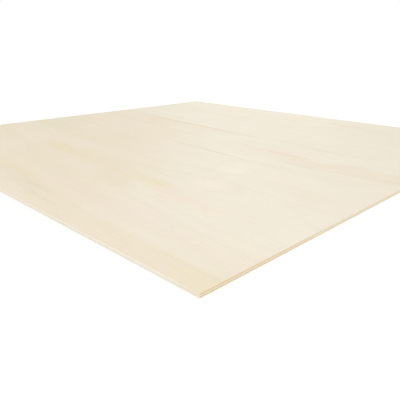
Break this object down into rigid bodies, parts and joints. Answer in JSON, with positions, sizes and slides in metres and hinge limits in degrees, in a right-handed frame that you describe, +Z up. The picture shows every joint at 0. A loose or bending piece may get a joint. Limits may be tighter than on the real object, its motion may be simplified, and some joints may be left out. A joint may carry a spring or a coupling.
{
  "type": "plywood sheet",
  "caption": "Square sheet of thin pale plywood lying flat, its outer veneers crossed by a core veneer that shows as a lighter stripe along the sawn edges; stock to cut, glue and screw.",
  "frame": {"origin": "middle of the sheet's underside", "axes": "+Z up through the sheet's thickness, +X along the grain of the outer veneers, +Y along the grain of the core veneer"},
  "size_m": [1.22, 1.22, 0.006],
  "materials": {
    "back_veneer": "sanded bare light hardwood veneer, grain along X",
    "core_veneer": "bare light hardwood crossband, grain along Y, sawn at the edges",
    "face_veneer": "sanded bare light hardwood veneer, grain along X"
  },
  "bodies": {
    "root": {"back_veneer": "back_veneer", "core_veneer": "core_veneer", "face_veneer": "face_veneer"}
  },
  "joints": []
}
